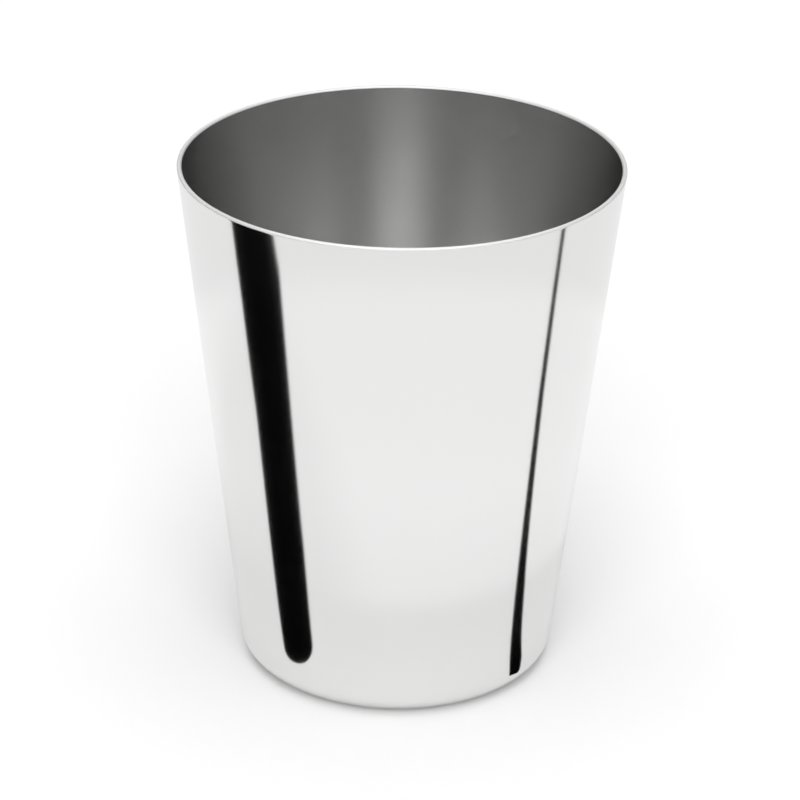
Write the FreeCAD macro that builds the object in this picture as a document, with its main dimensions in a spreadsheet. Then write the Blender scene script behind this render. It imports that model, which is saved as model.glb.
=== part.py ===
"""Deep drawn steel cup: a tapered tumbler pressed from one round blank.

The cup is a body of revolution, so its form is one section turned about Z. Drawing leaves
its marks on that section: the base keeps the blank's gauge, the wall is thinnest just above
the foot, where it was stretched over the punch, and it thickens towards the lip, where the
blank was gathered in. A shallow panel is pressed up into the base, so that the cup stands on
a flat ring. The trimmed lip is dressed round.

Units are millimetres. The origin is the middle of the standing ring's plane, +Z points up.
"""

import FreeCAD
import Part
import Sketcher
import math
import os
from types import SimpleNamespace

# Alias, value and meaning of each driving dimension.
SIZES = [
    ("mouth_diameter", 76.0, "outside, across the lip's outer corner"),
    ("cup_height", 92.0, "standing ring to lip"),
    ("foot_diameter", 54.5, "outside, wall line carried down to the standing plane"),
    ("foot_bend", 4.5, "outside radius of the bend from base to wall"),
    ("blank_gauge", 0.7, "sheet thickness of the base"),
    ("foot_wall", 0.62, "wall thickness just above the foot bend, at its thinnest"),
    ("lip_wall", 0.8, "wall thickness at the lip, at its thickest"),
    ("lip_round", 0.36, "radius of both edges of the trimmed lip"),
    ("lip_round_limit", 0.45, "largest lip radius as a share of the lip's wall"),
    ("panel_inset", 6.9, "foot corner to panel corner, across the standing plane"),
    ("panel_rise", 0.8, "height of the base panel above the standing plane"),
    ("panel_slope", 30.0, "degrees between the panel's step and the base"),
    ("panel_bend", 1.2, "inside radius of both bends of the panel's step"),
]

# The section's corners, out along the underside, up the outside, over the lip and back down
# the inside, each with the line that leads on from it.
SECTION = {
    "panel_centre": "panel_underside",
    "panel_edge": "step_underside",
    "ring_edge": "standing_ring",
    "foot_corner": "wall_outside",
    "lip_corner": "lip",
    "lip_inner_corner": "wall_inside",
    "foot_inner_corner": "ring_inside",
    "ring_inner_edge": "step_inside",
    "panel_inner_edge": "panel_inside",
    "panel_inner_centre": "axis",
}
LEVEL_LINES = ["panel_underside", "standing_ring", "lip", "ring_inside", "panel_inside"]

# What constraints call the origin, the two axes and the ends of a line.
ORIGIN = (-1, 1)
H_AXIS = -1
V_AXIS = -2
START = 1
END = 2

RING_TOLERANCE = 1e-4


def make_sheet(doc):
    """The sheet of driving dimensions: name, value and meaning in columns A, B and C."""
    sheet = doc.addObject("Spreadsheet::Sheet", "sizes")
    for row, (alias, value, meaning) in enumerate(SIZES, start=1):
        sheet.set(f"A{row}", alias)
        sheet.set(f"B{row}", str(value))
        sheet.setAlias(f"B{row}", alias)
        sheet.set(f"C{row}", meaning)
    doc.recompute()
    return sheet


def rough_places(sheet):
    """Where each corner starts, in SECTION's order. The constraints then settle it."""
    mouth = sheet.mouth_diameter / 2
    foot = sheet.foot_diameter / 2
    gauge = sheet.blank_gauge
    rise = sheet.panel_rise
    ring = foot - sheet.panel_inset
    panel = ring - rise / math.tan(math.radians(sheet.panel_slope))
    return [
        (0, rise),
        (panel, rise),
        (ring, 0),
        (foot, 0),
        (mouth, sheet.cup_height),
        (mouth - sheet.lip_wall, sheet.cup_height),
        (foot - sheet.foot_wall, gauge),
        (ring, gauge),
        (panel, rise + gauge),
        (0, rise + gauge),
    ]


def draw_lines(sketch, places):
    """Joins the places in a closed loop of lines, and returns the lines' numbers by name."""
    starts = [FreeCAD.Vector(x, z, 0) for x, z in places]
    ends = starts[1:] + starts[:1]
    numbers = [
        sketch.addGeometry(Part.LineSegment(start, end), False)
        for start, end in zip(starts, ends)
    ]
    for number, following in zip(numbers, numbers[1:] + numbers[:1]):
        sketch.addConstraint(Sketcher.Constraint("Coincident", number, END, following, START))
    return dict(zip(SECTION.values(), numbers))


def add_dimension(sketch, name, size, kind, *places):
    """Adds a named dimension and binds it to an expression on the sheet."""
    value = sketch.evalExpression(size)
    if kind == "Angle":
        value = math.radians(value.getValueAs("deg"))
    index = sketch.addConstraint(Sketcher.Constraint(kind, *places, float(value)))
    sketch.renameConstraint(index, name)
    sketch.setExpression(f"Constraints.{name}", size)


def draw_section(body, sheet):
    """The cup's section in the XZ plane, with sharp corners where the bends will be."""
    sketch = body.newObject("Sketcher::SketchObject", "section")
    plane = next(o for o in body.Origin.OriginFeatures if o.Role == "XZ_Plane")
    sketch.AttachmentSupport = (plane, [""])
    sketch.MapMode = "FlatFace"

    lines = draw_lines(sketch, rough_places(sheet))
    line = SimpleNamespace(**lines)
    at = SimpleNamespace(**{corner: (lines[name], START) for corner, name in SECTION.items()})

    for name in LEVEL_LINES:
        sketch.addConstraint(Sketcher.Constraint("Horizontal", lines[name]))
    for kind, *places in [
        ("PointOnObject", *at.panel_centre, V_AXIS),
        ("PointOnObject", *at.panel_inner_centre, V_AXIS),
        ("PointOnObject", *at.ring_edge, H_AXIS),
        ("Parallel", line.step_underside, line.step_inside),
    ]:
        sketch.addConstraint(Sketcher.Constraint(kind, *places))

    gauge = "sizes.blank_gauge"
    step_angle = "180 deg - sizes.panel_slope * 1 deg"
    for dimension in [
        ("mouth_radius", "sizes.mouth_diameter / 2", "DistanceX", *ORIGIN, *at.lip_corner),
        ("lip_height", "sizes.cup_height", "DistanceY", *ORIGIN, *at.lip_corner),
        ("foot_radius", "sizes.foot_diameter / 2", "DistanceX", *ORIGIN, *at.foot_corner),
        ("foot_wall", "sizes.foot_wall", "Distance", *at.foot_inner_corner, line.wall_outside),
        ("lip_wall", "sizes.lip_wall", "Distance", *at.lip_inner_corner, line.wall_outside),
        ("ring_gauge", gauge, "DistanceY", *at.foot_corner, *at.foot_inner_corner),
        ("panel_gauge", gauge, "DistanceY", *at.panel_centre, *at.panel_inner_centre),
        ("step_gauge", gauge, "Distance", *at.ring_inner_edge, line.step_underside),
        ("panel_inset", "sizes.panel_inset", "DistanceX", *at.ring_edge, *at.foot_corner),
        ("panel_rise", "sizes.panel_rise", "DistanceY", *ORIGIN, *at.panel_edge),
        ("step_angle", step_angle, "Angle", line.panel_underside, END, *at.panel_edge),
    ]:
        add_dimension(sketch, *dimension)

    body.Document.recompute()
    return sketch, {corner: sketch.getPoint(lines[name], START) for corner, name in SECTION.items()}


def ring_edge_names(shape, places):
    """Names of the shape's circular edges that pass through these places of the section."""
    names = []
    for place in places:
        for number, edge in enumerate(shape.Edges, start=1):
            if not isinstance(edge.Curve, Part.Circle):
                continue
            off_radius = abs(edge.Curve.Radius - place.x)
            off_height = abs(edge.Curve.Center.z - place.y)
            if off_radius < RING_TOLERANCE and off_height < RING_TOLERANCE:
                names.append(f"Edge{number}")
    if len(names) != len(places):
        raise RuntimeError(f"found {len(names)} ring edges where {len(places)} were wanted")
    return names


def add_bend(body, base, name, places, radius):
    """Rounds the ring edges at these places to a radius given by an expression."""
    bend = body.newObject("PartDesign::Fillet", name)
    bend.Base = (base, ring_edge_names(base.Shape, places))
    bend.setExpression("Radius", radius)
    body.Document.recompute()
    return bend


def make_cup(doc, sheet):
    """The drawn shell: its section revolved, then the bends and the lip's edges rounded."""
    body = doc.addObject("PartDesign::Body", "cup")
    body.Label = "cup"
    section, corners = draw_section(body, sheet)

    shell = body.newObject("PartDesign::Revolution", "drawn_shell")
    shell.Profile = section
    shell.ReferenceAxis = (section, ["V_Axis"])
    shell.Angle = 360
    section.Visibility = False
    doc.recompute()

    inside_foot = "sizes.foot_bend - sizes.blank_gauge"
    outside_panel = "sizes.panel_bend + sizes.blank_gauge"
    lip = "min(sizes.lip_round; sizes.lip_round_limit * sizes.lip_wall)"
    tip = shell
    for name, rounded, radius in [
        ("foot_bend_outside", ["foot_corner"], "sizes.foot_bend"),
        ("foot_bend_inside", ["foot_inner_corner"], inside_foot),
        ("panel_bends_convex", ["ring_edge", "panel_inner_edge"], outside_panel),
        ("panel_bends_concave", ["panel_edge", "ring_inner_edge"], "sizes.panel_bend"),
        ("lip_edges", ["lip_corner", "lip_inner_corner"], lip),
    ]:
        tip = add_bend(body, tip, name, [corners[corner] for corner in rounded], radius)
    body.Tip = tip
    return body


def check_model(doc, pieces):
    """Stops before anything is written if a feature failed or a piece isn't a sound solid."""
    for item in doc.Objects:
        if "Invalid" in item.State or "Error" in item.State:
            raise RuntimeError(f"{item.Label} failed: {item.State}")
        if item.TypeId == "Sketcher::SketchObject" and not item.FullyConstrained:
            raise RuntimeError(f"{item.Label} isn't fully constrained")
    for piece in pieces:
        shape = piece.Shape
        if shape.isNull() or not shape.isValid() or len(shape.Solids) != 1:
            raise RuntimeError(f"{piece.Label} isn't one valid solid")


def main():
    doc = FreeCAD.newDocument("drawn_cup")
    sheet = make_sheet(doc)
    cup = make_cup(doc, sheet)
    doc.recompute()

    pieces = [cup]
    check_model(doc, pieces)
    os.makedirs("parts", exist_ok=True)
    for piece in pieces:
        piece.Shape.exportStep(os.path.join("parts", f"{piece.Label}.step"))
        print(f"{piece.Label}: {piece.Shape.Volume:.1f} mm3")


main()
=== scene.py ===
import math

import bmesh
import bpy
from mathutils import Matrix, Vector


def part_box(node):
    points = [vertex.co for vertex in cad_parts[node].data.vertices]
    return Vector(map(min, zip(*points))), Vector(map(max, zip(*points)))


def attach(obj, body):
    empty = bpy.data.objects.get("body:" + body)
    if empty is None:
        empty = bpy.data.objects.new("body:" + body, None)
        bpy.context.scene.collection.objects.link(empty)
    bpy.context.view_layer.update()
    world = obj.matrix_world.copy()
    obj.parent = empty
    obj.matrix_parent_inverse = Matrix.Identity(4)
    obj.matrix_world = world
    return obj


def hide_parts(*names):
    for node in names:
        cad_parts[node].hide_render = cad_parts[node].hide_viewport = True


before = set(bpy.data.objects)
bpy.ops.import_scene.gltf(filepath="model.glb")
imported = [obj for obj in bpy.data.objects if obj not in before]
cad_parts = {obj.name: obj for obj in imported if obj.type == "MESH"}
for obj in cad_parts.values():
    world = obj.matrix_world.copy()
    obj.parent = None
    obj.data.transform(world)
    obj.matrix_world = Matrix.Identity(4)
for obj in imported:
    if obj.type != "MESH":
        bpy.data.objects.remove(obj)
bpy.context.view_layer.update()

# The visible cup is turned from the same section as the solid one. Everything is in metres.
MM = 0.001
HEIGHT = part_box("cup")[1].z
AXIS = Vector((0, 0, 1))

MOUTH_RADIUS = 38.0 * MM
FOOT_RADIUS = 27.25 * MM
FOOT_BEND = 4.5 * MM
BLANK_GAUGE = 0.7 * MM
FOOT_WALL = 0.62 * MM
LIP_WALL = 0.8 * MM
LIP_ROUND = 0.36 * MM
PANEL_INSET = 6.9 * MM
PANEL_RISE = 0.8 * MM
PANEL_SLOPE = math.radians(30)
PANEL_BEND = 1.2 * MM

TURN_STEPS = 288
WALL_ROWS = 26
FOOT_STEPS = 18
PANEL_STEPS = 6
LIP_STEPS = 8
MERGE = 0.001 * MM

# The rows of faces start just above the foot bend and end just below the lip's rounding.
WALL_FOOT = FOOT_BEND * 1.05
WALL_HEAD = HEIGHT - LIP_ROUND * 1.5
PANEL_MARGIN = 1.0 * MM
PANEL_RINGS = (0.25, 0.5, 0.75, 1.0)

# Faces above the lip's foot are lip, and faces that look to the hollow's middle are inside.
LIP_FOOT = HEIGHT - LIP_ROUND * 1.12
HOLLOW = Vector((0, 0, HEIGHT * 0.75))
OUTSIDE_SLOT, INSIDE_SLOT, LIP_SLOT = range(3)

# The camera looks down on the cup from the front, turned slightly about its line of sight.
CAMERA_DISTANCE = 608 * MM
CAMERA_ELEVATION = math.radians(25.3)
CAMERA_ROLL = math.radians(0.81)
CAMERA_LENS = 157.1
SENSOR_WIDTH = 36.0
CLIP_START = 0.01
CLIP_END = 20.0
AIM = Vector((0.2 * MM, 0, 47.7 * MM))


# ---------------------------------------------------------------- shader maths


class Number:
    """A socket that carries a number, with Python's arithmetic on it."""

    def __init__(self, graph, socket):
        self.graph = graph
        self.socket = socket

    def math(self, operation, first, second):
        made = self.graph.node("ShaderNodeMath", {"operation": operation}, {0: first, 1: second})
        return Number(self.graph, made.outputs[0])

    def __add__(self, other):
        return self.math("ADD", self, other)

    __radd__ = __add__

    def __sub__(self, other):
        return self.math("SUBTRACT", self, other)

    def __rsub__(self, other):
        return self.math("SUBTRACT", other, self)

    def __mul__(self, other):
        return self.math("MULTIPLY", self, other)

    __rmul__ = __mul__


class Graph:
    """A node tree that is built from expressions."""

    def __init__(self, tree):
        self.tree = tree
        tree.nodes.clear()

    def node(self, kind, settings=None, sockets=None):
        """Makes any node: its settings first, then the value or link of each socket."""
        made = self.tree.nodes.new(kind)
        for name, value in (settings or {}).items():
            setattr(made, name, value)
        for name, value in (sockets or {}).items():
            self.feed(made.inputs[name], value)
        return made

    def feed(self, socket, value):
        if isinstance(value, Number):
            value = value.socket
        if isinstance(value, bpy.types.NodeSocket):
            self.tree.links.new(value, socket)
        else:
            socket.default_value = value

    def number(self, kind, settings=None, sockets=None, output=0):
        """Makes a node and takes one of its outputs as a number."""
        return Number(self, self.node(kind, settings, sockets).outputs[output])


def new_material(name):
    material = bpy.data.materials.new(name)
    material.use_nodes = True
    return material, Graph(material.node_tree)


def grey(level):
    return (level, level, level, 1.0)


# ---------------------------------------------------------------- finishes


def turned_coordinates(graph, around, along):
    """Coordinates that run round the cup and along its section, for marks left by turning.

    Going along the section, height and radius grow together, from the middle of the base to
    the lip, so their sum is the distance along it.
    """
    place = graph.node("ShaderNodeTexCoord").outputs["Object"]
    flat = graph.node("ShaderNodeVectorMath", {"operation": "MULTIPLY"}, {0: place, 1: (1, 1, 0)})
    radius = graph.number(
        "ShaderNodeVectorMath", {"operation": "LENGTH"}, {0: flat.outputs[0]}, "Value"
    )
    height = graph.number("ShaderNodeSeparateXYZ", None, {0: place}, "Z")
    direction = graph.node(
        "ShaderNodeVectorMath", {"operation": "NORMALIZE"}, {0: flat.outputs[0]}
    )
    spread = graph.node(
        "ShaderNodeVectorMath", {"operation": "SCALE"}, {0: direction.outputs[0], "Scale": around}
    )
    lift = graph.node("ShaderNodeCombineXYZ", None, {"Z": (radius + height) * along})
    return graph.node(
        "ShaderNodeVectorMath",
        {"operation": "ADD"},
        {0: spread.outputs[0], 1: lift.outputs[0]},
    ).outputs[0]


def noise(graph, vector, scale, detail, roughness=0.5):
    """Noise about zero, roughly from -0.5 to 0.5."""
    made = graph.number(
        "ShaderNodeTexNoise",
        None,
        {"Vector": vector, "Scale": scale, "Detail": detail, "Roughness": roughness},
    )
    return made - 0.5


def steel(graph, tones, mottle, marks, strength, depth, roughness, constants=None):
    """Bare steel, mottled between two tones, with marks of this strength and depth in it."""
    darker, lighter = tones
    colour = graph.node(
        "ShaderNodeMix",
        {"data_type": "RGBA"},
        {"Factor": 0.5 + mottle, "A": darker, "B": lighter},
    )
    bump = graph.node(
        "ShaderNodeBump",
        None,
        {"Strength": strength, "Distance": depth, "Height": marks},
    )
    sockets = {
        "Base Color": colour.outputs["Result"],
        "Metallic": 1.0,
        "Roughness": roughness,
        "Normal": bump.outputs[0],
    }
    surface = graph.node("ShaderNodeBsdfPrincipled", None, {**sockets, **(constants or {})})
    graph.node("ShaderNodeOutputMaterial", None, {"Surface": surface.outputs[0]})


def polished_steel():
    """Mirror polish: faint rings from the buffing wheel over the sheet's slight waviness."""
    material, graph = new_material("polished_steel")
    turned = turned_coordinates(graph, around=1.5, along=1.0)
    rings = noise(graph, turned, scale=900, detail=2)
    place = graph.node("ShaderNodeTexCoord").outputs["Object"]
    haze = noise(graph, place, scale=60, detail=3)
    steel(
        graph,
        tones=((0.84, 0.845, 0.84, 1), (0.86, 0.86, 0.85, 1)),
        mottle=haze,
        marks=rings,
        strength=0.02,
        depth=0.02 * MM,
        roughness=0.08 + rings * 0.02 + haze * 0.02,
    )
    return material


def satin_steel():
    """Satin finish inside: fine rings from the brush over the drawn surface.

    The brush runs round the cup, so highlights are drawn out up the wall, across its marks.
    """
    material, graph = new_material("satin_steel")
    turned = turned_coordinates(graph, around=2.0, along=1.0)
    rings = noise(graph, turned, scale=1500, detail=3, roughness=0.6)
    place = graph.node("ShaderNodeTexCoord").outputs["Object"]
    clouding = noise(graph, place, scale=45, detail=3)
    steel(
        graph,
        tones=((0.84, 0.845, 0.84, 1), (0.88, 0.88, 0.87, 1)),
        mottle=clouding,
        marks=rings,
        strength=0.2,
        depth=0.02 * MM,
        roughness=0.25 + rings * 0.1 + clouding * 0.06,
        constants={
            "Anisotropic": 0.5,
            "Anisotropic Rotation": 0.25,
            "Specular Tint": grey(0.4),
        },
    )
    return material


def dressed_steel_painted_highlight():
    """The trimmed lip, rubbed round with fine abrasive, with a frosted grain; its lighter tone is
    a painted highlight.
    """
    material, graph = new_material("dressed_steel_painted_highlight")
    turned = turned_coordinates(graph, around=6.0, along=1.0)
    grain = noise(graph, turned, scale=2500, detail=2)
    # Painted highlight: these tones are lighter than the wall's steel so that the lip reads
    # bright.
    steel(
        graph,
        tones=((0.9, 0.9, 0.895, 1), (0.96, 0.96, 0.955, 1)),
        mottle=grain,
        marks=grain,
        strength=0.15,
        depth=0.01 * MM,
        roughness=0.75 + grain * 0.1,
    )
    return material


# ---------------------------------------------------------------- the cup


def section_corners():
    """The section's corners, as (radius, height, bend radius, steps in the bend)."""
    lean = math.atan2(MOUTH_RADIUS - FOOT_RADIUS, HEIGHT)

    def wall_at(height, thickness):
        outside = FOOT_RADIUS + height * math.tan(lean)
        return outside - thickness / math.cos(lean)

    ring = FOOT_RADIUS - PANEL_INSET
    panel = ring - PANEL_RISE / math.tan(PANEL_SLOPE)
    shift = BLANK_GAUGE * math.tan(PANEL_SLOPE / 2)
    inner_bend = FOOT_BEND - BLANK_GAUGE
    outer_panel_bend = PANEL_BEND + BLANK_GAUGE
    return [
        (0, PANEL_RISE, 0, 0),
        (panel, PANEL_RISE, PANEL_BEND, PANEL_STEPS),
        (ring, 0, outer_panel_bend, PANEL_STEPS),
        (FOOT_RADIUS, 0, FOOT_BEND, FOOT_STEPS),
        (MOUTH_RADIUS, HEIGHT, LIP_ROUND, LIP_STEPS),
        (wall_at(HEIGHT, LIP_WALL), HEIGHT, LIP_ROUND, LIP_STEPS),
        (wall_at(BLANK_GAUGE, FOOT_WALL), BLANK_GAUGE, inner_bend, FOOT_STEPS),
        (ring + shift, BLANK_GAUGE, PANEL_BEND, PANEL_STEPS),
        (panel + shift, PANEL_RISE + BLANK_GAUGE, outer_panel_bend, PANEL_STEPS),
        (0, PANEL_RISE + BLANK_GAUGE, 0, 0),
    ]


def bend_corner(mesh, corner, offset, steps):
    """Rounds a corner, starting this far along each of its sides."""
    bmesh.ops.bevel(
        mesh,
        geom=[corner],
        offset=offset,
        offset_type="OFFSET",
        segments=steps,
        profile=0.5,
        affect="VERTICES",
        material=-1,
    )


def round_corner(mesh, corner, radius, steps):
    """Turns a corner between two edges into an arc of this radius."""
    arms = [edge.other_vert(corner).co - corner.co for edge in corner.link_edges]
    bend_corner(mesh, corner, radius / math.tan(arms[0].angle(arms[1]) / 2), steps)


def cut_across(mesh, place, normal):
    everything = mesh.verts[:] + mesh.edges[:] + mesh.faces[:]
    bmesh.ops.bisect_plane(mesh, geom=everything, plane_co=place, plane_no=normal)


def make_cup():
    """The section is drawn, rounded and cut into rows, then spun about the axis."""
    mesh = bmesh.new()
    corners = section_corners()
    drawn = [mesh.verts.new((radius, 0, height)) for radius, height, _, _ in corners]
    for start, end in zip(drawn, drawn[1:]):
        mesh.edges.new((start, end))
    for corner, (_, _, bend, steps) in zip(drawn, corners):
        if bend:
            round_corner(mesh, corner, bend, steps)

    for row in range(WALL_ROWS + 1):
        height = WALL_FOOT + (WALL_HEAD - WALL_FOOT) * row / WALL_ROWS
        cut_across(mesh, AXIS * height, AXIS)
    panel_radius = corners[1][0] - PANEL_MARGIN
    for share in PANEL_RINGS:
        cut_across(mesh, Vector((panel_radius * share, 0, 0)), Vector((1, 0, 0)))

    bmesh.ops.spin(
        mesh,
        geom=mesh.verts[:] + mesh.edges[:],
        cent=(0, 0, 0),
        axis=AXIS,
        angle=2 * math.pi,
        steps=TURN_STEPS,
        use_merge=True,
    )
    poles = [v for v in mesh.verts if math.hypot(v.co.x, v.co.y) < MERGE]
    bmesh.ops.remove_doubles(mesh, verts=poles, dist=MERGE)
    bmesh.ops.recalc_face_normals(mesh, faces=mesh.faces[:])

    for face in mesh.faces:
        face.smooth = True
        middle = face.calc_center_median()
        if middle.z > LIP_FOOT:
            face.material_index = LIP_SLOT
        elif face.normal.dot(HOLLOW - middle) > 0:
            face.material_index = INSIDE_SLOT
        else:
            face.material_index = OUTSIDE_SLOT

    data = bpy.data.meshes.new("drawn_cup")
    mesh.to_mesh(data)
    mesh.free()
    cup = bpy.data.objects.new("drawn_cup", data)
    bpy.context.scene.collection.objects.link(cup)
    for finish in (polished_steel, satin_steel, dressed_steel_painted_highlight):
        data.materials.append(finish())
    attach(cup, "root")
    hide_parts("cup")


# ---------------------------------------------------------------- stage

FLOOR_RADIUS = 6.0
FLOOR_SIDES = 96
TABLE_TONE = 0.86
LIFT_SEEN = 0.14

# Painted reflected light: the table glows for glossy rays only, so it looks brighter in the cup's
# polish than it is lit, in a ring round the cup and in a patch by its foot. Where the ring fades
# out on the broad flag's side, that is painted shade. Each pair is where a change starts and
# where it ends.
PAINTED_RING_LIGHT = 0.065
PAINTED_FOOT_LIGHT = 0.065
RING_INNER = (52 * MM, 60 * MM)
RING_OUTER = (146 * MM, 162 * MM)
PAINTED_FOOT_LIGHT_SPAN = (32 * MM, 54 * MM)
PAINTED_SHADE_MIDDLE = (-75 * MM, -8 * MM, 0)
PAINTED_SHADE_EDGE = (45 * MM, 90 * MM)

# The room is dim and two soft lamps light the cup. A share is how much of full white a lamp
# lays on a level white table when it is overhead.
ROOM_LEVEL = 0.1
ROOF = {"elevation": 90, "width": 60, "share": 0.61}
FRONT = {"elevation": 45, "width": 40, "share": 0.46}

# Two black flags lie on the table beside the cup, one broad and one narrow. Polished metal has
# no colour of its own, so their dark lines are what shows its form. Each corner is x and y in
# millimetres, and how far along its sides it is rounded.
FLAG_LIFT = 0.3 * MM
FLAG_TONE = 0.0015
FLAG_BEND_STEPS = 8
BROAD_FLAG = [
    (-26.2, -20.5, 5.2),
    (-105, -13.4, 0),
    (-150, -4, 0),
    (-230, 17, 0),
    (-230, -75, 0),
    (-138, -75, 0),
    (-52, -41.8, 0),
    (-24.2, -29.4, 4.0),
]
NARROW_FLAG = [
    (24.0, -18.3, 0),
    (115, -21.0, 0),
    (150, -19.8, 0),
    (200, -15.2, 0),
    (200, -7.0, 0),
    (150, -11.6, 0),
    (115, -13.4, 0),
    (50, -12.5, 0),
    (30, -13.8, 0),
    (24.6, -15.7, 0),
]


def stage_object(name, mesh, material):
    data = bpy.data.meshes.new(name)
    mesh.to_mesh(data)
    mesh.free()
    made = bpy.data.objects.new(name, data)
    bpy.context.scene.collection.objects.link(made)
    data.materials.append(material)
    return made


def smooth_step(graph, value, start, end):
    return graph.number(
        "ShaderNodeMapRange",
        {"interpolation_type": "SMOOTHSTEP"},
        {"Value": value, "From Min": start, "From Max": end, "To Min": 0.0, "To Max": 1.0},
    )


def make_floor():
    material, graph = new_material("white_table")
    rays = graph.node("ShaderNodeLightPath")
    seen = Number(graph, rays.outputs["Is Camera Ray"])
    reflected = Number(graph, rays.outputs["Is Glossy Ray"])
    through = Number(graph, rays.outputs["Is Transmission Ray"])
    place = graph.node("ShaderNodeTexCoord").outputs["Object"]
    radius = graph.number("ShaderNodeVectorMath", {"operation": "LENGTH"}, {0: place}, "Value")
    from_painted_shade = graph.number(
        "ShaderNodeVectorMath", {"operation": "DISTANCE"}, {0: place, 1: PAINTED_SHADE_MIDDLE}, "Value"
    )
    # Painted reflected light: a glowing ring on the table, faded out by painted shade beside the
    # broad flag.
    ring = smooth_step(graph, radius, *RING_INNER) * (1 - smooth_step(graph, radius, *RING_OUTER))
    ring = ring * smooth_step(graph, from_painted_shade, *PAINTED_SHADE_EDGE)
    # Painted reflected light: a glowing patch on the table by the cup's foot, where the cup
    # shades it.
    painted_foot_pool = 1 - smooth_step(graph, radius, *PAINTED_FOOT_LIGHT_SPAN)
    lift = ring * PAINTED_RING_LIGHT + painted_foot_pool * PAINTED_FOOT_LIGHT
    # The table's emission: an even brightening seen by the camera, and painted reflected light
    # and shade seen only in the polish.
    even_lift_and_painted_reflection = graph.node(
        "ShaderNodeMix",
        {"data_type": "RGBA"},
        {
            "Factor": (seen + through) * LIFT_SEEN + reflected * lift,
            "A": grey(0.0),
            "B": grey(1.0),
        },
    )
    surface = graph.node(
        "ShaderNodeBsdfPrincipled",
        None,
        {
            "Base Color": grey(TABLE_TONE),
            "Roughness": 1.0,
            "Specular IOR Level": 0.0,
            "Emission Color": even_lift_and_painted_reflection.outputs["Result"],
            "Emission Strength": 1.0,
        },
    )
    graph.node("ShaderNodeOutputMaterial", None, {"Surface": surface.outputs[0]})
    mesh = bmesh.new()
    bmesh.ops.create_circle(mesh, cap_ends=True, radius=FLOOR_RADIUS, segments=FLOOR_SIDES)
    stage_object("floor", mesh, material)


def make_flag(name, outline):
    """A black flag lying on the table, seen only in the cup's polish."""
    material, graph = new_material(name)
    surface = graph.node("ShaderNodeBsdfDiffuse", None, {"Color": grey(FLAG_TONE)})
    graph.node("ShaderNodeOutputMaterial", None, {"Surface": surface.outputs[0]})
    mesh = bmesh.new()
    corners = [mesh.verts.new((x * MM, y * MM, FLAG_LIFT)) for x, y, _ in outline]
    mesh.faces.new(corners)
    for corner, (_, _, bend) in zip(corners, outline):
        if bend:
            bend_corner(mesh, corner, bend * MM, FLAG_BEND_STEPS)
    flag = stage_object(name, mesh, material)
    flag.visible_camera = False
    flag.visible_diffuse = False
    flag.visible_transmission = False
    flag.visible_shadow = False


def make_stage():
    make_floor()
    make_flag("broad_flag", BROAD_FLAG)
    make_flag("narrow_flag", NARROW_FLAG)


def make_sun(name, elevation, width, share):
    """A distant round lamp in front of the cup or over it. Its height and width are degrees."""
    lamp = bpy.data.lights.new(name, "SUN")
    lamp.angle = math.radians(width)
    lamp.energy = math.pi * share
    sun = bpy.data.objects.new(name, lamp)
    sun.rotation_euler = (math.radians(90 - elevation), 0, 0)
    bpy.context.scene.collection.objects.link(sun)


def make_light():
    world = bpy.data.worlds.new("studio")
    world.use_nodes = True
    bpy.context.scene.world = world
    graph = Graph(world.node_tree)
    seen = graph.number("ShaderNodeLightPath", None, None, "Is Camera Ray")
    background = graph.node(
        "ShaderNodeBackground",
        None,
        {"Color": grey(1.0), "Strength": ROOM_LEVEL + seen * (1 - ROOM_LEVEL)},
    )
    graph.node("ShaderNodeOutputWorld", None, {"Surface": background.outputs[0]})
    make_sun("soft_roof", **ROOF)
    make_sun("soft_front", **FRONT)


def make_camera():
    camera = bpy.data.objects.new("camera", bpy.data.cameras.new("camera"))
    camera.data.lens = CAMERA_LENS
    camera.data.sensor_width = SENSOR_WIDTH
    camera.data.clip_start = CLIP_START
    camera.data.clip_end = CLIP_END
    middle = Vector((0, 0, HEIGHT / 2))
    back = Vector((0, -math.cos(CAMERA_ELEVATION), math.sin(CAMERA_ELEVATION)))
    place = middle + back * CAMERA_DISTANCE
    look = (AIM - place).to_track_quat("-Z", "Y").to_matrix().to_4x4()
    camera.matrix_world = Matrix.Translation(place) @ look @ Matrix.Rotation(CAMERA_ROLL, 4, "Z")
    bpy.context.scene.collection.objects.link(camera)
    bpy.context.scene.camera = camera


make_camera()
make_cup()
make_stage()
make_light()
bpy.context.scene.view_settings.view_transform = "Standard"
